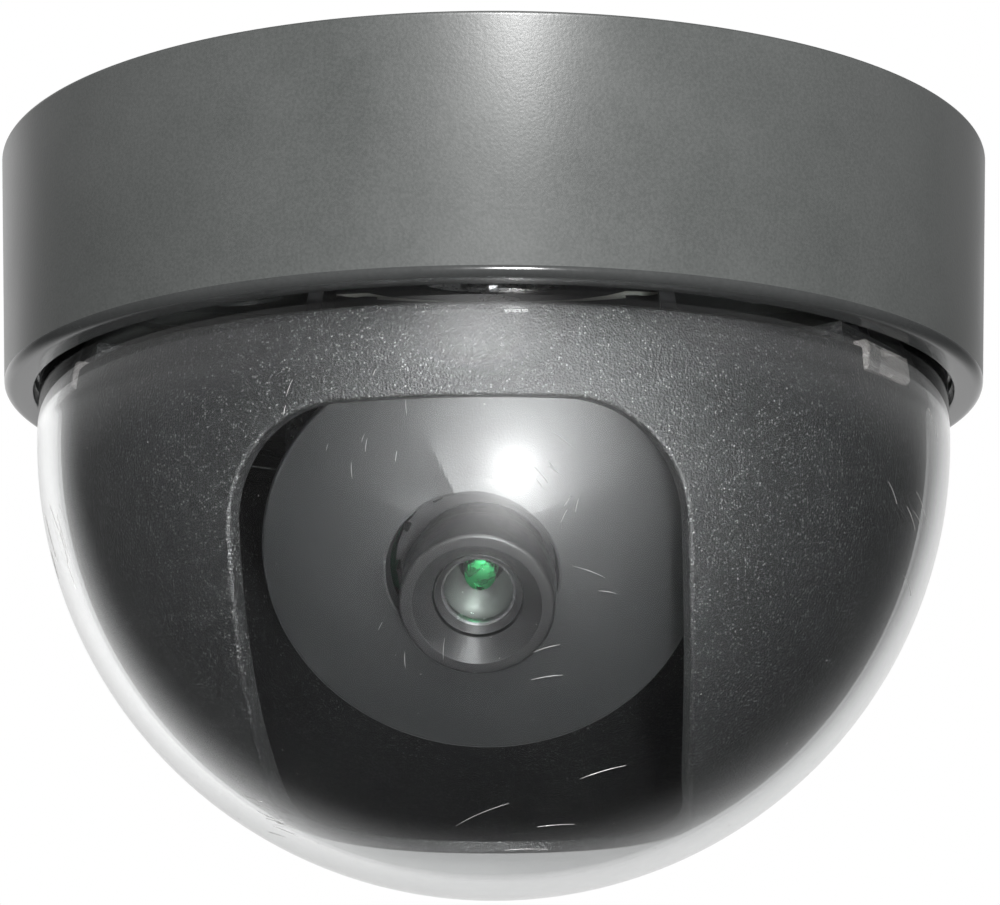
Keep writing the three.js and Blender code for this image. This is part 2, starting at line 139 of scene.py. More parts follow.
def mark_edges(mesh, angle):
    """Smooth shading with hard edges wherever two faces meet at more than an angle."""
    bm = bmesh.new()
    bm.from_mesh(mesh)
    bmesh.ops.remove_doubles(bm, verts=bm.verts, dist=1e-7)
    bmesh.ops.recalc_face_normals(bm, faces=bm.faces)
    limit = math.radians(angle)
    for face in bm.faces:
        face.smooth = True
    for edge in bm.edges:
        if len(edge.link_faces) == 2:
            edge.smooth = edge.calc_face_angle() < limit
    bm.to_mesh(mesh)
    bm.free()


def piece(name, verts, faces, material, body, slot, place=ROW, replaces=(), angle=35):
    """A mesh object from millimetre points, riding on a body."""
    mesh = bpy.data.meshes.new(name)
    mesh.from_pydata([(place @ Vector(v)) * MM for v in verts], [], faces)
    mark_edges(mesh, angle)
    obj = bpy.data.objects.new(name, mesh)
    bpy.context.scene.collection.objects.link(obj)
    mesh.materials.append(material)
    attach(obj, body)
    if replaces:
        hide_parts(*replaces)
    return obj


def lathe_data(outline, steps, radius_at=None):
    """A closed outline of [radius, z] turned about Z. radius_at can reshape each point's radius."""
    verts, faces, rows = [], [], []
    for r, z in outline:
        if r < 1e-6:
            rows.append([len(verts)] * steps)
            verts.append((0.0, 0.0, z))
            continue
        rows.append(list(range(len(verts), len(verts) + steps)))
        for k in range(steps):
            turn = TAU * k / steps
            radius = radius_at(r, z, turn) if radius_at else r
            verts.append((radius * math.sin(turn), -radius * math.cos(turn), z))
    for i, row in enumerate(rows):
        above = rows[(i + 1) % len(rows)]
        for k in range(steps):
            n = (k + 1) % steps
            corners = [row[k], row[n], above[n], above[k]]
            face = [c for j, c in enumerate(corners) if c != corners[j - 1]]
            if len(face) > 2:
                faces.append(face)
    return verts, faces


def merged(*parts):
    """Several (verts, faces) as one."""
    verts, faces = [], []
    for part_verts, part_faces in parts:
        base = len(verts)
        verts += [tuple(v) for v in part_verts]
        faces += [[base + i for i in face] for face in part_faces]
    return verts, faces


def moved(part, place):
    """A part's (verts, faces) put in another place."""
    return [place @ Vector(v) for v in part[0]], part[1]


def prism(outline, low, top, edge=0.0):
    """An outline in X and Y carried from z = low to z = top, with a small chamfer all round."""
    points = [Vector(p) for p in outline]
    area = sum(a.x * b.y - b.x * a.y for a, b in zip(points, points[1:] + points[:1]))
    if area < 0:
        points.reverse()
    count = len(points)
    inset = []
    for i, p in enumerate(points):
        along = (points[(i + 1) % count] - points[i - 1]).normalized()
        inset.append(p + Vector((-along.y, along.x)) * edge)
    rings = [(inset, low), (points, low + edge), (points, top - edge), (inset, top)]
    if edge == 0:
        rings = [(points, low), (points, top)]
    verts = [(p.x, p.y, z) for ring, z in rings for p in ring]
    faces = [list(range(count))[::-1], [len(verts) - count + i for i in range(count)]]
    for level in range(len(rings) - 1):
        for i in range(count):
            n = (i + 1) % count
            a = level * count
            faces.append([a + i, a + n, a + count + n, a + count + i])
    return verts, faces


def box_part(low, high, edge):
    """A block between two corners, with chamfered edges."""
    outline = [(low[0], low[1]), (high[0], low[1]), (high[0], high[1]), (low[0], high[1])]
    return prism(outline, low[2], high[2], edge)


def disc_outline(radius, steps, centre):
    return [Vector((centre[0] + radius * math.cos(TAU * k / steps),
                    centre[1] + radius * math.sin(TAU * k / steps))) for k in range(steps)]


def cut(obj, cutters):
    """Cuts mesh pieces out of an object for good, then removes the cutters."""
    for verts, faces, place in cutters:
        mesh = bpy.data.meshes.new("cutter")
        mesh.from_pydata([(place @ Vector(v)) * MM for v in verts], [], faces)
        mark_edges(mesh, 30)
        cutter = bpy.data.objects.new("cutter", mesh)
        bpy.context.scene.collection.objects.link(cutter)
        mod = obj.modifiers.new("cut", "BOOLEAN")
        mod.object, mod.operation, mod.solver = cutter, "DIFFERENCE", "EXACT"
        graph = bpy.context.evaluated_depsgraph_get()
        done = bpy.data.meshes.new_from_object(obj.evaluated_get(graph))
        obj.modifiers.clear()
        materials = list(obj.data.materials)
        old = obj.data
        obj.data = done
        bpy.data.meshes.remove(old)
        done.materials.clear()
        for material in materials:
            done.materials.append(material)
        bpy.data.objects.remove(cutter)
        bpy.data.meshes.remove(mesh)
    mark_edges(obj.data, 35)


# ---------------------------------------------------------------- material helpers
class Nodes:
    """A short way to write a node material."""

    def __init__(self, name):
        self.material = bpy.data.materials.new(name)
        self.material.use_nodes = True
        self.tree = self.material.node_tree
        self.tree.nodes.clear()
        self.out = self.add("ShaderNodeOutputMaterial")
        self.place = self.add("ShaderNodeTexCoord").outputs["Object"]

    def add(self, kind, inputs=None, **settings):
        node = self.tree.nodes.new(kind)
        for key, value in settings.items():
            setattr(node, key, value)
        for key, value in (inputs or {}).items():
            self.feed(node.inputs[key], value)
        return node

    def feed(self, socket, value):
        if isinstance(value, bpy.types.NodeSocket):
            self.tree.links.new(value, socket)
        elif isinstance(value, (tuple, list)) and len(value) == 3 and socket.type == "RGBA":
            socket.default_value = (*value, 1.0)
        else:
            socket.default_value = value

    def noise(self, scale, detail=3.0, rough=0.55, place=None):
        vector = self.place if place is None else place
        return self.add("ShaderNodeTexNoise", {
            "Vector": vector, "Scale": scale, "Detail": detail, "Roughness": rough}).outputs["Fac"]

    def cells(self, scale):
        return self.add("ShaderNodeTexVoronoi", {"Vector": self.place, "Scale": scale})

    def span(self, value, low, high, to_low, to_high):
        return self.add("ShaderNodeMapRange", {
            "Value": value, "From Min": low, "From Max": high,
            "To Min": to_low, "To Max": to_high}, clamp=True).outputs["Result"]

    def math(self, how, a, b):
        return self.add("ShaderNodeMath", {0: a, 1: b}, operation=how).outputs[0]

    def blend(self, factor, a, b):
        return self.add("ShaderNodeMix", {0: factor, 6: a, 7: b}, data_type="RGBA").outputs[2]

    def stretched(self, scale):
        return self.add("ShaderNodeMapping", {"Vector": self.place, "Scale": scale}).outputs[0]

    def bump(self, height, strength, distance):
        return self.add("ShaderNodeBump", {
            "Height": height, "Strength": strength, "Distance": distance}).outputs[0]

    def surface(self, **inputs):
        named = {key.replace("_", " "): value for key, value in inputs.items()}
        shader = self.add("ShaderNodeBsdfPrincipled", named)
        self.feed(self.out.inputs["Surface"], shader.outputs[0])
        return shader


def moulded(name, dark, light, rough, grain, depth, wear=0.0):
    """Moulded plastic: a mottled colour, uneven gloss and a fine grain."""
    n = Nodes(name)
    cloud = n.noise(90, 4, 0.6)
    fine = n.noise(grain, 2, 0.5)
    mottle = n.math("ADD", n.span(cloud, 0.3, 0.7, 0, 0.5), n.span(fine, 0.35, 0.65, 0, 0.5))
    colour = n.blend(mottle, dark, light)
    gloss = n.math("ADD", n.span(cloud, 0.3, 0.7, rough - 0.015, rough + 0.02),
                   n.span(fine, 0.3, 0.7, -0.012, 0.012))
    if wear:
        scuff = n.noise(1.0, 5, 0.7, n.stretched((260, 260, 1500)))
        gloss = n.math("ADD", gloss, n.span(scuff, 0.62, 0.75, 0, wear))
    n.surface(Base_Color=colour, Roughness=gloss, Normal=n.bump(fine, 0.5, depth))
    return n.material


def spark_eroded(name, dark, light, rough, size, depth):
    """Plastic moulded against a spark-eroded tool: sharp random pits, a few of which carry a painted glint,
    a lighter base colour standing in for their sparkle, and are partly metallic so they also shine under
    the lamps.
    """
    n = Nodes(name)
    pits = n.cells(size)
    chips = n.noise(size * 1.4, 2, 0.6)
    cloud = n.noise(70, 3, 0.5)
    pick = n.add("ShaderNodeSeparateColor", {"Color": pits.outputs["Color"]}).outputs[0]
    middle_of_pit = n.span(pits.outputs["Distance"], 0.15, 0.5, 1, 0)
    # Painted glint: picked pits get a lighter speck colour in place of real sparkle, and also turn partly
    # metallic.
    painted_glint = n.math("MULTIPLY", n.span(pick, 0.76, 0.92, 0, 1), middle_of_pit)
    plain = n.blend(n.span(cloud, 0.3, 0.7, 0, 1), dark, light)
    # The painted glint colour is blended over the plain dark tone.
    colour = n.blend(painted_glint, plain, (0.18, 0.18, 0.18))
    gloss = n.span(chips, 0.3, 0.7, rough - 0.08, rough + 0.08)
    height = n.math("ADD", pits.outputs["Distance"], n.math("MULTIPLY", chips, 1.2))
    n.surface(Base_Color=colour, Roughness=gloss, Metallic=n.math("MULTIPLY", painted_glint, 0.8),
              Normal=n.bump(height, 0.9, depth))
    return n.material


def metal(name, colour, rough, metallic=1.0, grain=1400):
    """Metal with fine machining variation."""
    n = Nodes(name)
    fine = n.noise(grain, 3, 0.6)
    cloud = n.noise(150, 3, 0.6)
    darker = tuple(c * 0.75 for c in colour)
    n.surface(Base_Color=n.blend(n.span(cloud, 0.35, 0.65, 0, 1), darker, colour), Metallic=metallic,
              Roughness=n.span(fine, 0.3, 0.7, rough - 0.07, rough + 0.09),
              Normal=n.bump(fine, 0.25, 0.00002))
    return n.material


def lit_through(n, shader, tint):
    """Lets the lamps shine through a clear surface instead of casting its full shadow."""
    lamps = n.add("ShaderNodeBsdfTransparent", {"Color": tuple(c * 0.96 for c in tint)})
    path = n.add("ShaderNodeLightPath")
    through = n.add("ShaderNodeMixShader", {
        0: path.outputs["Is Shadow Ray"], 1: shader.outputs[0], 2: lamps.outputs[0]})
    n.feed(n.out.inputs["Surface"], through.outputs[0])
    return n.material


def clear(name, tint, ior, scratches=True):
    """Clear plastic or glass that lets lamps through, with fine scratches and dust in its gloss."""
    n = Nodes(name)
    fine = n.noise(1.0, 4, 0.7, n.stretched((2200, 2200, 160)))
    cloud = n.noise(35, 3, 0.5)
    haze = n.span(cloud, 0.35, 0.75, 0.0, 0.012)
    gloss = n.math("ADD", haze, n.span(fine, 0.6, 0.72, 0.006, 0.05)) if scratches else 0.0
    shader = n.surface(Base_Color=n.blend(cloud, tint, tuple(min(1.0, c * 1.02) for c in tint)),
                       Roughness=gloss, IOR=ior, Transmission_Weight=1.0,
                       Coat_Weight=0.2 if scratches else 0.0, Coat_Roughness=0.3, Coat_IOR=1.5,
                       Normal=n.bump(cloud, 0.1, 0.00002))
    return lit_through(n, shader, tint)


def milky(name, tint):
    """Clear plastic with tooled, cloudy faces."""
    n = Nodes(name)
    cloud = n.noise(300, 3, 0.6)
    shader = n.surface(Base_Color=n.blend(cloud, tint, tuple(c * 0.9 for c in tint)), IOR=1.49,
                       Transmission_Weight=0.9, Roughness=n.span(cloud, 0.3, 0.7, 0.06, 0.14),
                       Normal=n.bump(cloud, 0.3, 0.00003))
    return lit_through(n, shader, tint)


MAT = {
    "housing": moulded("housing_plastic", (0.031, 0.033, 0.032), (0.046, 0.048, 0.047), 0.31, 3600,
                       0.00002, wear=0.008),
    "lip": moulded("lip_polish", (0.024, 0.025, 0.025), (0.03, 0.031, 0.031), 0.14, 2600, 0.000004),
    "ring": moulded("ring_plastic", (0.03, 0.03, 0.031), (0.04, 0.04, 0.041), 0.45, 2200, 0.00002),
    "liner": spark_eroded("liner_plastic", (0.0055, 0.0057, 0.006), (0.009, 0.0093, 0.0096), 0.45,
                          4400, 0.00006),
    "shroud": moulded("shroud_plastic", (0.012, 0.0125, 0.013), (0.02, 0.0205, 0.021), 0.44, 5600, 0.00003),
    "holder": moulded("holder_plastic", (0.015, 0.015, 0.015), (0.022, 0.022, 0.022), 0.5, 2200, 0.00002),
    "acetal": moulded("acetal", (0.55, 0.55, 0.5), (0.66, 0.66, 0.61), 0.4, 1500, 0.00001),
    "rubber": moulded("grommet_rubber", (0.015, 0.015, 0.015), (0.028, 0.028, 0.027), 0.75, 1400, 0.00005),
    "board": moulded("circuit_board", (0.012, 0.09, 0.045), (0.02, 0.14, 0.07), 0.35, 1800, 0.00002),
    "chip": moulded("chip_black", (0.012, 0.012, 0.013), (0.02, 0.02, 0.021), 0.55, 3000, 0.00002),
    "socket": moulded("socket_plastic", (0.68, 0.66, 0.58), (0.78, 0.76, 0.7), 0.45, 1500, 0.00001),
    "sleeve": moulded("capacitor_sleeve", (0.015, 0.015, 0.03), (0.025, 0.025, 0.045), 0.25, 900, 0.00001),
    "steel": metal("bright_steel", (0.62, 0.62, 0.63), 0.28),
    "black_steel": metal("black_screw", (0.05, 0.05, 0.055), 0.35),
    "black_metal": metal("black_metal", (0.02, 0.02, 0.021), 0.42, metallic=0.3),
    "barrel": metal("barrel_metal", (0.012, 0.012, 0.0125), 0.36, metallic=0.2),
    "brass": metal("brass_spacer", (0.62, 0.42, 0.16), 0.3),
    "dome": clear("clear_dome", (0.87, 0.88, 0.88), 1.49),
    "burr": moulded("scratch_burr", (0.12, 0.118, 0.115), (0.3, 0.295, 0.29), 0.34, 1500, 0.00001),
    "lug": milky("lug_plastic", (0.82, 0.79, 0.78)),
    "glass": clear("lens_glass", (0.93, 0.97, 0.94), 1.52, scratches=False),
    "ring_edge": metal("ring_edge", (0.16, 0.16, 0.165), 0.22, metallic=0.8),
    "coating": metal("green_coating", (0.07, 0.55, 0.2), 0.27, metallic=1.0),
}

# ---------------------------------------------------------------- carried-over CAD nodes
CARRIED = {
    "cable_grommet": "rubber", "pan_screw": "steel", "pan_washer": "acetal", "base_plate": "housing",
    "dome_retaining_ring": "ring", "dome_gasket": "rubber", "pan_turntable": "acetal",
    "yoke_bracket": "black_metal", "yoke_screw_front": "steel", "yoke_screw_rear": "steel",
    "tilt_screw_left": "steel", "tilt_screw_right": "steel", "tilt_washer_left": "acetal",
    "tilt_washer_right": "acetal", "sensor_board": "board", "power_board": "board",
    "image_sensor": "chip", "ir_filter": "glass", "video_processor": "chip", "board_header": "chip",
    "cable_socket": "socket", "filter_capacitor": "sleeve", "oscillator": "steel",
    "lens_holder": "holder", "focus_lock_ring": "black_metal", "aperture_stop": "black_metal",
    "rear_element": "glass", "liner_screw_1": "black_steel", "liner_screw_2": "black_steel",
    "liner_screw_3": "black_steel",
}
for i in range(1, 5):
    CARRIED[f"board_screw_{i}"] = "steel"
    CARRIED[f"board_spacer_{i}"] = "brass"
for node, finish in CARRIED.items():
    mesh = frame["nodes"][node].data
    mesh.materials.clear()
    mesh.materials.append(MAT[finish])


# ---------------------------------------------------------------- housing
def sectors(block):
    """Blocks that each span an angle of a ring, one at each of the given angles."""
    parts, span, steps = [], math.radians(block["span"]), 12
    for centre in block["angles"]:
        angles = [math.radians(centre) - span / 2 + span * k / steps for k in range(steps + 1)]
        outline = [(block["outer"] * math.sin(a), -block["outer"] * math.cos(a)) for a in angles]
        outline += [(block["inner"] * math.sin(a), -block["inner"] * math.cos(a)) for a in reversed(angles)]
        parts.append(prism(outline, block["low"], block["top"], 0.25))
    return parts


def housing():
    h = HOUSING
    inner = h["low"] - h["wall"] + 0.1
    outline = rounded([
        (h["lip"], h["floor"], 0.25), (h["low"], h["floor"], h["edge"]), (h["top"], 0.0, 0.45),
        (h["top"] - h["wall"] - 0.4, 0.0, 0.3), (inner, h["ledge"], 0.2), (h["lip"], h["ledge"], 0.25)], 8)
    shell = lathe_data(outline, 256)
    obj = piece("housing_shell", *merged(shell, *sectors(BAYONET_TAB), *sectors(SNAP)), MAT["housing"],
                "housing", "housing_plastic", replaces=["housing_cover"])
    obj.data.materials.append(MAT["lip"])
    lip_top, lip_inner = (h["floor"] + 1.3) * MM, 46.0 * MM
    for face in obj.data.polygons:
        on_lip = face.center.z < lip_top and face.center.xy.length > lip_inner
        face.material_index = 1 if on_lip else 0


housing()


# ---------------------------------------------------------------- dome
def at_lug(angle, part):
    """A part built at the front, turned round to a lug's angle."""
    return moved(part, Matrix.Rotation(angle, 4, "Z"))


def bubble():
    d = BUBBLE
    inside = d["radius"] - d["wall"]
    outline = arc(d["radius"], -90, 0, 90, (0, PIVOT_Z))
    outline += rounded([
        (d["radius"], d["flange_low"], 0.4), (d["flange"], d["flange_low"], 0.2),
        (d["flange"], d["flange_top"], 0.2), (inside, d["flange_top"], 0.2)], 4)
    outline += arc(inside, 0, -90, 90, (0, PIVOT_Z))
    outline[0] = Vector((0, outline[0].y))
    outline[-1] = Vector((0, outline[-1].y))
    piece("dome_bubble", *lathe_data(outline, 192), MAT["dome"], "dome", "clear_dome",
          place=DOME, replaces=["dome_window"], angle=50)


bubble()


def lugs():
    low = (-LUG["half"], -(BUBBLE["radius"] - BUBBLE["wall"] - 0.25), LUG["low"])
    high = (LUG["half"], -LUG["inner"], LUG["top"])
    parts = [at_lug(angle, box_part(low, high, 0.3)) for angle in LUG_ANGLES]
    piece("dome_lugs", *merged(*parts), MAT["lug"], "dome", "clear_dome", place=DOME, angle=25)


lugs()


def on_dome(azimuth, drop, lift=0.0):
    """A point on the dome: degrees round from the front, degrees below level, and height over it."""
    a, d, r = math.radians(azimuth), math.radians(drop), BUBBLE["radius"] + lift
    level = r * math.cos(d)
    return Vector((level * math.sin(a), -level * math.cos(a), PIVOT_Z - r * math.sin(d)))


def scratch(azimuth, drop, heading, length, width):
    """A raised burr along a short path over the dome, pointed at both ends."""
    steps, turn = 8, math.radians(heading)
    crest, root, curl = 0.035, -0.03, 0.12
    degrees = math.degrees(length / BUBBLE["radius"])
    verts, faces = [], []
    for k in range(steps + 1):
        t = k / steps - 0.5
        bend = t * t * degrees * curl
        da = (t * degrees * math.cos(turn) - bend * math.sin(turn)) / math.cos(math.radians(drop))
        dd = t * degrees * math.sin(turn) + bend * math.cos(turn)
        half = math.degrees(width / BUBBLE["radius"]) * (1.06 - 4 * t * t)
        side_a = -half * math.sin(turn) / math.cos(math.radians(drop))
        side_d = half * math.cos(turn)
        at_a, at_d = azimuth + da, drop + dd
        verts += [on_dome(at_a - side_a, at_d - side_d), on_dome(at_a, at_d, crest),
                  on_dome(at_a + side_a, at_d + side_d), on_dome(at_a, at_d, root)]
    for k in range(steps):
        for j in range(4):
            a, b = k * 4 + j, k * 4 + (j + 1) % 4
            faces.append([a, b, b + 4, a + 4])
    faces += [[3, 2, 1, 0], [steps * 4 + j for j in range(4)]]
    return verts, faces


def scratches():
    rng = random.Random(7)
    # Each group: degrees round, degrees below level, spread, number, heading, longest in mm.
    groups = [
        (9, 15, 3, 5, 50, 3.0), (13, 20, 3, 4, -70, 2.6), (17, 29, 2, 2, 20, 4.0),
        (9, 37, 3, 2, -15, 3.4), (-7, 35, 3, 3, -65, 2.6), (-13, 10, 6, 9, -80, 1.6),
        (-61, 60, 5, 9, 35, 4.2), (66, 12, 6, 6, 25, 5.0), (-74, 14, 7, 6, 80, 5.0),
        (14, 63, 9, 4, -18, 7.0)]
    parts = []
    for azimuth, drop, spread, count, heading, longest in groups:
        for _ in range(count):
            parts.append(scratch(azimuth + rng.gauss(0, spread) * 0.7, drop + rng.gauss(0, spread) * 0.6,
                                 heading + rng.gauss(0, 9), longest * rng.uniform(0.35, 1.0),
                                 rng.uniform(0.018, 0.045)))
    for _ in range(60):  # dust
        parts.append(scratch(rng.uniform(-80, 80), rng.uniform(4, 70), rng.uniform(0, 360),
                             rng.uniform(0.08, 0.2), rng.uniform(0.02, 0.04)))
    piece("dome_scratches", *merged(*parts), MAT["burr"], "dome", "clear_dome")


scratches()


# ---------------------------------------------------------------- liner
def slot_loop(radius, count):
    """Evenly spaced points round the slot's edge on a sphere about the dome's centre."""
    s = SLOT
    top, half, corner = s["top"] - PIVOT_Z, s["half"], s["corner"]
    raw = [(x, None, top) for x in np.linspace(0, -(half - corner), 30)]
    for a in np.linspace(90, 180, 60):
        raw.append((-(half - corner) + corner * math.cos(math.radians(a)), None,
                    top - corner + corner * math.sin(math.radians(a))))
    end_half, end_y, end_depth = s["end_half"], s["end_y"], s["end_depth"]
    for t in np.linspace(0, 1, 200)[1:]:
        blend = (1 - t) ** 2 * (1 + 2 * t)
        pull = (1 - t) * s["bend_pull"] + t * s["end_pull"]
        y = (1 - t) ** 3 * s["bend_y"] - 3 * (1 - t) * t * pull + t ** 3 * end_y
        raw.append((-half * blend - end_half * (1 - blend), y, None))
    for a in np.radians(np.linspace(180, 90, 100))[1:]:
        raw.append((end_half * math.cos(a), end_y + end_depth * math.sin(a), None))
    side = []
    for x, y, z in raw:
        if y is None:
            y = -math.sqrt(radius ** 2 - x * x - z * z)
        if z is None:
            z = -math.sqrt(radius ** 2 - x * x - y * y)
        side.append((x, y, z))
    loop = np.array(side + [(-x, y, z) for x, y, z in side[-2:0:-1]])
    closed = np.vstack([loop, loop[:1]])
    along = np.concatenate([[0], np.cumsum(np.linalg.norm(np.diff(closed, axis=0), axis=1))])
    at = np.linspace(0, along[-1], count, endpoint=False)
    return np.stack([np.interp(at, along, closed[:, k]) for k in range(3)], axis=1)


def to_chart(p, radius):
    """A point on the liner as polar distance from its lowest point, spread flat."""
    x, y, z = p
    turn = math.atan2(x, -y)
    if z > 0:
        polar = math.pi / 2 + z / radius
    else:
        polar = math.atan2(math.hypot(x, y), -z)
    return np.array([polar * math.sin(turn), -polar * math.cos(turn)])


def from_chart(q, radius):
    """The liner point that to_chart spreads to q."""
    polar = math.hypot(*q)
    turn = math.atan2(q[0], -q[1])
    if polar > math.pi / 2:
        r, z = radius, (polar - math.pi / 2) * radius
    else:
        r, z = radius * math.sin(polar), -radius * math.cos(polar)
    return (r * math.sin(turn), -r * math.cos(turn), z)


def ruling(start, radius, rim_height, steps):
    """Points from a slot edge point out to the rim, over the liner's surface."""
    centre, crowding = np.array([0.0, -0.52]), 1.3
    q = to_chart(start, radius)
    away = (q - centre) / np.linalg.norm(q - centre)
    limit = math.pi / 2 + rim_height / radius
    b = q @ away
    reach = -b + math.sqrt(b * b - q @ q + limit ** 2)
    return [from_chart(q + away * reach * (k / steps) ** crowding, radius) for k in range(steps + 1)]


def liner():
    radius, wall = LINER["radius"], LINER["wall"]
    rim = LINER["rim"] - PIVOT_Z
    edge_out, edge_in, rim_edge = 0.45, 0.3, 0.4
    loop = slot_loop(radius, 480)
    count = len(loop)
    profiles = []
    for i, p in enumerate(loop):
        normal = p / np.linalg.norm(p)
        along = loop[(i + 1) % count] - loop[i - 1]
        side = np.cross(normal, along)
        side /= np.linalg.norm(side)
        if side @ (p - np.array([0.0, -radius * 0.5, -radius * 0.85])) < 0:
            side = -side
        inner_start = p + side * edge_in - normal * wall
        inner = ruling(inner_start, radius - wall, rim - rim_edge, 40)
        outer = ruling(p + side * edge_out, radius, rim - rim_edge, 40)
        turn = math.atan2(outer[-1][0], -outer[-1][1])
        inner_turn = math.atan2(inner[-1][0], -inner[-1][1])
        row = inner[::-1]
        for a in np.radians(np.linspace(90, 0, 6))[1:]:
            centre = p + side * edge_in - normal * (wall - edge_in)
            row.append(tuple(centre + edge_in * (-side * math.cos(a) - normal * math.sin(a))))
        for a in np.radians(np.linspace(90, 0, 8)):
            centre = p + (side - normal) * edge_out
            row.append(tuple(centre + edge_out * (normal * math.cos(a) - side * math.sin(a))))
        row += outer[1:]
        for a in np.radians(np.linspace(0, 90, 5))[1:]:
            r, z = radius - rim_edge + rim_edge * math.cos(a), rim - rim_edge + rim_edge * math.sin(a)
            row.append((r * math.sin(turn), -r * math.cos(turn), z))
        for a in np.radians(np.linspace(90, 180, 5))[:-1]:
            r = radius - wall + rim_edge + rim_edge * math.cos(a)
            z = rim - rim_edge + rim_edge * math.sin(a)
            row.append((r * math.sin(inner_turn), -r * math.cos(inner_turn), z))
        profiles.append(row)
    width = len(profiles[0])
    verts = [v for row in profiles for v in row]
    faces = []
    for i in range(count):
        n = (i + 1) % count
        for k in range(width):
            m = (k + 1) % width
            faces.append([i * width + k, n * width + k, n * width + m, i * width + m])
    place = DOME @ Matrix.Translation((0, 0, PIVOT_Z))
    obj = piece("liner_shell", verts, faces, MAT["liner"], "dome", "liner_plastic", place=place,
                replaces=["liner_shroud"], angle=40)
    half = LUG["half"] + LUG["gap"]
    window = box_part((-half, -radius - 5, LUG["low"] - 0.3), (half, -LUG["inner"] + 5, LUG["low"] + 8), 0)
    windows = [(*at_lug(angle, window), DOME) for angle in LUG_ANGLES]
    cut(obj, windows)
    ears, face, wide = [], -radius + 1.0, half + 2.0
    bridge = box_part((-wide, face, LUG["top"] + 0.3), (wide, -LUG["inner"], LUG["top"] + 1.6), 0.25)
    for angle in LUG_ANGLES:
        ears.append(at_lug(angle, bridge))
        for side in (-1, 1):
            x0, x1 = sorted((side * half, side * wide))
            post = box_part((x0, face, LUG["low"]), (x1, face + 1.2, LUG["top"] + 0.6), 0.15)
            ears.append(at_lug(angle, post))
    piece("liner_ears", *merged(*ears), MAT["liner"], "dome", "liner_plastic", place=DOME)


liner()


# ---------------------------------------------------------------- camera head
def facet_drop(x, y):
    """How far the shroud's flat facets beside the lens hole lie under its round face."""
    s = SHROUD

    def side_of(at, heading):
        """Distance to the right of a crease that leaves the hole's edge on a heading."""
        at, heading = math.radians(at), math.radians(heading)
        dx, dy = x - s["hole_x"] - s["hole"] * math.cos(at), y - s["hole"] * math.sin(at)
        return dx * math.sin(heading) - dy * math.cos(heading)

    upper, left, right = side_of(*FACETS["upper"]), side_of(*FACETS["left"]), -side_of(*FACETS["right"])
    away = math.hypot(x - s["hole_x"], y) - s["hole"]
    fade = max(0.0, 1 - max(0.0, away - FACETS["whole"]) / FACETS["fade"]) ** 2
    drop = 0.0
    if upper > 0 and right > 0:
        drop = FACETS["upper_drop"] * upper * right / (upper + right)
    elif left > 0 and upper < 0:
        drop = FACETS["left_drop"] * left * -upper / (left - upper)
    return drop * fade


def shroud():
    s = SHROUD
    steps, inside = 256, s["radius"] - s["wall"]
    rim_round, edge = 0.35, 0.25

    def on(radius, x, y):
        """Height of the round face over a point."""
        return s["centre"] + math.sqrt(radius ** 2 - x * x - y * y)

    def spoke(turn, hole, rim, radius, rows, drop):
        """Points from the hole's edge to the rim, spread evenly along one direction."""
        c, n = math.cos(turn), math.sin(turn)
        b = s["hole_x"] * c
        reach = -b + math.sqrt(b * b - s["hole_x"] ** 2 + rim * rim)
        out = []
        for k in range(rows + 1):
            r = hole + (reach - hole) * (k / rows)
            x, y = s["hole_x"] + r * c, r * n
            out.append((x, y, on(radius, x, y) - (facet_drop(x, y) if drop else 0)))
        return out

    rows = []
    for k in range(steps):
        turn = TAU * k / steps
        outer = spoke(turn, s["hole"] + edge, s["rim"] - rim_round, s["radius"], 40, True)
        inner = spoke(turn, s["hole"] - 0.35, s["rim"] - s["wall"], inside, 12, False)
        lip_x, lip_y = s["hole_x"] + s["hole"] * math.cos(turn), s["hole"] * math.sin(turn)
        lip_z = on(s["radius"], lip_x, lip_y) - facet_drop(lip_x, lip_y)
        hole = [(lip_x, lip_y, lip_z - 0.08), (lip_x, lip_y, lip_z - 0.3)]
        x, y, z = outer[-1]
        far = math.hypot(x, y)
        rim = []
        for a in (30, 60, 90):
            r = s["rim"] - rim_round + rim_round * math.sin(math.radians(a))
            rim.append((x * r / far, y * r / far, z - rim_round * (1 - math.cos(math.radians(a)))))
        x, y = rim[-1][:2]
        inward = 1 - s["wall"] / s["rim"]
        back = [(x, y, s["skirt"]), (x * inward, y * inward, s["skirt"])]
        rows.append(hole[:1] + outer + rim + back + inner[::-1] + hole[1:])
    width = len(rows[0])
    verts = [v for row in rows for v in row]
    faces = []
    for i in range(steps):
        n = (i + 1) % steps
        for k in range(width):
            m = (k + 1) % width
            faces.append([i * width + k, i * width + m, n * width + m, n * width + k])
    parts = [(verts, faces)]
    for side in (-1, 1):
        ear = [(-EAR["half"], EAR["reach"])] + [(v.x, v.y) for v in arc(EAR["half"], 180, 360, 24)]
        ear += [(EAR["half"], EAR["reach"])]
        near, far = sorted((side * EAR["inner"], side * EAR["outer"]))
        turn = Matrix(((0, 0, 1), (1, 0, 0), (0, 1, 0))).to_4x4()
        parts.append(moved(prism(ear, near, far, 0.3), turn))
    for x in (-1, 1):
        for y in (-1, 1):
            post = disc_outline(POST["radius"], 24, (x * POST["offset"], y * POST["offset"]))
            parts.append(prism(post, POST["low"], POST["top"], 0.2))
    piece("lens_shroud", *merged(*parts), MAT["shroud"], "camera_head", "shroud_plastic", place=HEAD,
          replaces=["camera_shroud"], angle=4)


shroud()


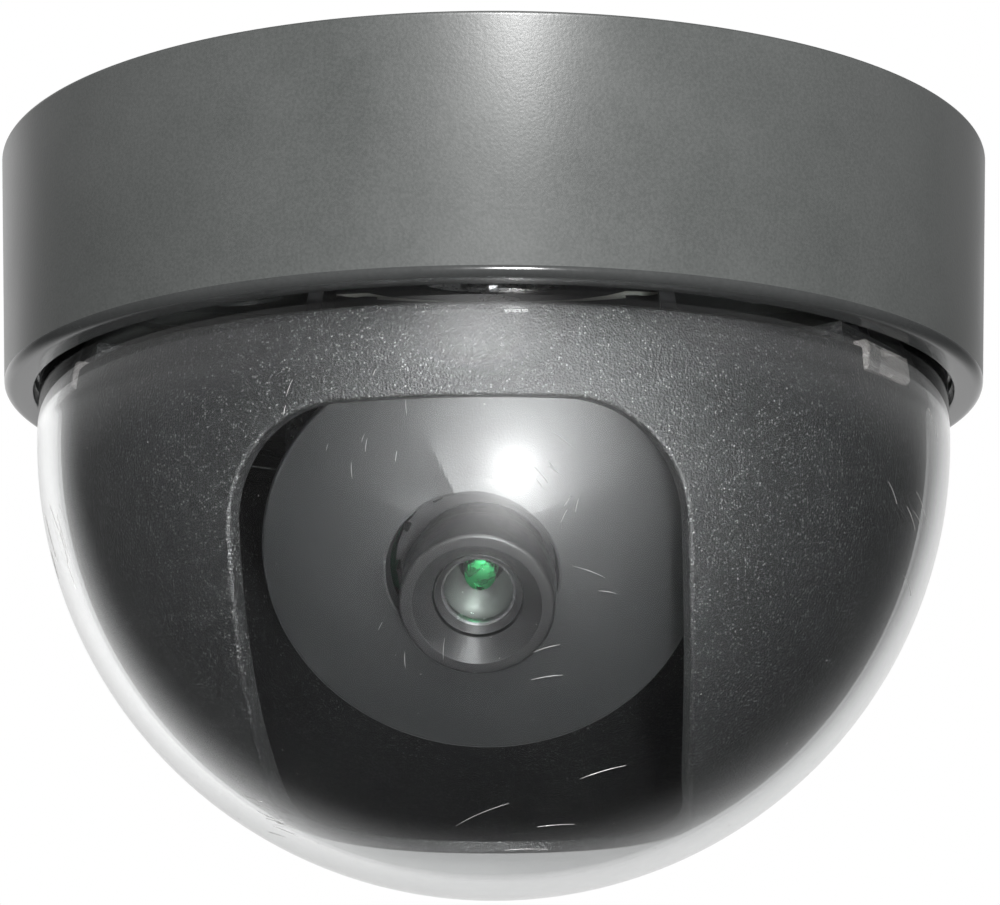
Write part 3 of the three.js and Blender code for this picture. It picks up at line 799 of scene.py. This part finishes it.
def barrel():
    b = BARREL
    outline = rounded([
        (b["thread"], b["back"], 0.3), (b["thread"], b["step"], 0.1), (b["flange"], b["step"], 0.3),
        (b["flange"], b["front"], 0.35), (b["dish"], b["front"], 0.12),
        (b["bore"], b["front"] - b["dish_depth"], 0.06), (b["bore"], b["stop_top"] + 0.6, 0.1),
        (b["stop"], b["stop_top"], 0.05), (b["stop"], b["stop_low"], 0.05),
        (b["seat_hole"], b["seat"], 0.1), (b["seat_hole"], b["sleeve_top"], 0.1),
        (b["sleeve"], b["sleeve_top"], 0.1), (b["sleeve"], b["back"], 0.2)], 4)
    piece("barrel_turned", *lathe_data(outline, 128), MAT["barrel"], "focus_barrel", "barrel_metal",
          place=HEAD, replaces=["lens_barrel"])


barrel()


def retaining_ring():
    r = RETAINER
    ring = rounded([
        (r["inner"], r["low"], 0.05), (r["outer"], r["low"], 0.05), (r["outer"], r["top"], 0.06),
        (r["crease"], r["top"] - 0.71, 0.04), (r["inner"], r["top"] - 0.83, 0.06)], 4)
    retainer = piece("retainer_turned", *lathe_data(ring, 128), MAT["barrel"], "focus_barrel",
                     "barrel_metal", place=HEAD, replaces=["lens_retainer"])
    retainer.data.materials.append(MAT["ring_edge"])
    back = HEAD.inverted()
    for face in retainer.data.polygons:
        if (back @ (face.center / MM)).xy.length < r["crease"]:
            face.material_index = 1


retaining_ring()


def crowned(glass, steps):
    """A lens's half outline: flat behind, round in front."""
    start = math.degrees(math.acos(glass["rim"] / glass["curve"]))
    top = arc(glass["curve"], start, 90, steps, (0, glass["crown"] - glass["curve"]))
    top[-1] = Vector((0, glass["crown"]))
    return [Vector((0, glass["back"])), Vector((glass["rim"], glass["back"]))] + top


def lenses():
    piece("front_glass", *lathe_data(crowned(FRONT_GLASS, 32), 128), MAT["glass"], "lens_group",
          "lens_glass", place=HEAD, replaces=["front_element"])
    piece("coated_glass", *lathe_data(crowned(COATED_GLASS, 24), 96), MAT["coating"], "lens_group",
          "lens_glass", place=HEAD)


lenses()


# ---------------------------------------------------------------- light, floor and camera
VIEW_AZIMUTH = math.radians(3.0)
CAMERA_BACK, CAMERA_DROP = 343.87, 106.25
VIEW_CENTRE = Vector((0, 0, -35.0))


def from_front(across, back, height):
    """A point given from the viewer's side: across to the right, back from the axis, and height."""
    return Matrix.Rotation(VIEW_AZIMUTH, 4, "Z") @ Vector((across, -back, height))


def camera():
    """A view from just below, at the distance that gives the picture its perspective."""
    data = bpy.data.cameras.new("camera")
    data.sensor_width, data.lens = 36.0, 125.6
    data.shift_x, data.shift_y = 0.0063, 0.0577
    data.clip_start, data.clip_end = 0.01, 50
    cam = bpy.data.objects.new("camera", data)
    spot = from_front(0, CAMERA_BACK, -CAMERA_DROP)
    cam.location = spot * MM
    cam.rotation_mode = "QUATERNION"
    cam.rotation_quaternion = (VIEW_CENTRE - spot).to_track_quat("-Z", "Y")
    bpy.context.scene.collection.objects.link(cam)
    bpy.context.scene.camera = cam


camera()


def area_light(name, spot, aim, width, height, watts, colour=(1, 1, 1), shape="RECTANGLE"):
    data = bpy.data.lights.new(name, "AREA")
    data.shape, data.size, data.size_y = shape, width * MM, height * MM
    data.energy, data.color = watts, colour
    lamp = bpy.data.objects.new(name, data)
    lamp.location = spot * MM
    lamp.rotation_mode = "QUATERNION"
    lamp.rotation_quaternion = (aim - spot).to_track_quat("-Z", "Y")
    bpy.context.scene.collection.objects.link(lamp)


FLASH = from_front(28, 345, -140)
area_light("front_lamp", FLASH, Vector((0, 0, -45)), 26, 26, 2.5, shape="ELLIPSE")
area_light("strip_lamp", from_front(40, 420, 282), Vector((0, 0, -12)), 48, 280, 4.0)


def world():
    """A soft glow and a tall pale band in front, dim sides, and white behind the camera dome."""
    made = bpy.data.worlds.new("studio")
    bpy.context.scene.world = made
    made.use_nodes = True
    tree = made.node_tree
    tree.nodes.clear()

    def add(kind, inputs=None, **settings):
        node = tree.nodes.new(kind)
        for key, value in settings.items():
            setattr(node, key, value)
        for key, value in (inputs or {}).items():
            if isinstance(value, bpy.types.NodeSocket):
                tree.links.new(value, node.inputs[key])
            else:
                node.inputs[key].default_value = value
        return node

    def figure(how, *values):
        return add("ShaderNodeMath", dict(enumerate(values)), operation=how).outputs[0]

    way = add("ShaderNodeTexCoord").outputs["Generated"]
    parts = add("ShaderNodeSeparateXYZ", {0: way}).outputs
    behind = add("ShaderNodeMapRange", {"Value": parts["Y"], "From Min": 0.5, "From Max": 0.95,
                                        "To Min": 0.02, "To Max": 0.85}, interpolation_type="SMOOTHSTEP")
    edge = add("ShaderNodeMapRange", {"Value": parts["Y"], "From Min": 0.85, "From Max": 0.98,
                                      "To Min": -1.1, "To Max": 0.3})
    lean = figure("MULTIPLY_ADD", parts["X"], edge.outputs[0], 1.0)
    sides = figure("MULTIPLY", behind.outputs[0], lean)
    high = add("ShaderNodeMapRange", {"Value": parts["Z"], "From Min": 0.05, "From Max": 0.3,
                                      "To Min": 0.0, "To Max": 0.42}, interpolation_type="SMOOTHSTEP")
    wide = add("ShaderNodeMapRange", {"Value": figure("ABSOLUTE", parts["X"]), "From Min": 0.3,
                                      "From Max": 0.9}, interpolation_type="SMOOTHSTEP")
    sides = figure("MULTIPLY_ADD", high.outputs[0], wide.outputs[0], sides)
    lamp = (FLASH - VIEW_CENTRE).normalized()
    near = add("ShaderNodeVectorMath", {0: way, 1: tuple(lamp)}, operation="DOT_PRODUCT").outputs["Value"]
    glow = figure("EXPONENT", figure("MULTIPLY", figure("SUBTRACT", near, 1.0), 2 / 0.55 ** 2))
    glow = figure("MULTIPLY", glow, figure("MULTIPLY_ADD", parts["X"], 0.2, 1.0))
    across = add("ShaderNodeVectorMath", {0: way, 1: tuple(from_front(1, 0.07, 0))},
                 operation="DOT_PRODUCT").outputs["Value"]
    narrow = figure("EXPONENT", figure("MULTIPLY", figure("MULTIPLY", across, across), -0.5 / 0.16 ** 2))
    low = add("ShaderNodeMapRange", {"Value": parts["Z"], "From Min": 0.02, "From Max": 0.24},
              interpolation_type="SMOOTHSTEP")
    front = figure("LESS_THAN", parts["Y"], 0.0)
    band = figure("MULTIPLY", figure("MULTIPLY", narrow, low.outputs[0]), front)
    level = figure("MULTIPLY_ADD", glow, 0.21, figure("MULTIPLY_ADD", band, 2.4, sides))
    path = add("ShaderNodeLightPath")
    through = add("ShaderNodeMapRange", {"Value": parts["Y"], "From Min": 0.6, "From Max": 0.88,
                                         "To Min": 0.0, "To Max": 0.72}, interpolation_type="SMOOTHSTEP")
    through = figure("MULTIPLY", through.outputs[0], lean)
    clear_level = figure("MAXIMUM", through, figure("MULTIPLY", level, 0.8))
    seen = add("ShaderNodeMix", {0: path.outputs["Is Transmission Ray"], 2: level, 3: clear_level})
    seen = add("ShaderNodeMix", {0: path.outputs["Is Camera Ray"], 2: seen.outputs[0], 3: 1.0})
    sky = add("ShaderNodeBackground", {"Color": (1, 1, 1, 1), "Strength": seen.outputs[0]})
    add("ShaderNodeOutputWorld", {"Surface": sky.outputs[0]})


world()


def floor():
    n = Nodes("floor_pale")
    tone = n.blend(n.noise(0.6, 2), (0.8, 0.8, 0.79), (0.84, 0.84, 0.83))
    n.surface(Base_Color=tone, Roughness=0.8)
    mesh = bpy.data.meshes.new("floor")
    verts, faces = [(0, 0, 0)], []
    for k in range(64):
        verts.append((9 * math.cos(TAU * k / 64), 9 * math.sin(TAU * k / 64), 0))
        faces.append((0, k + 1, (k + 1) % 64 + 1))
    mesh.from_pydata(verts, [], faces)
    mesh.materials.append(n.material)
    obj = bpy.data.objects.new("floor", mesh)
    obj.location.z = -0.8
    obj.visible_glossy = obj.visible_transmission = obj.visible_diffuse = False
    bpy.context.scene.collection.objects.link(obj)


floor()

scene = bpy.context.scene
scene.view_settings.view_transform = "Standard"
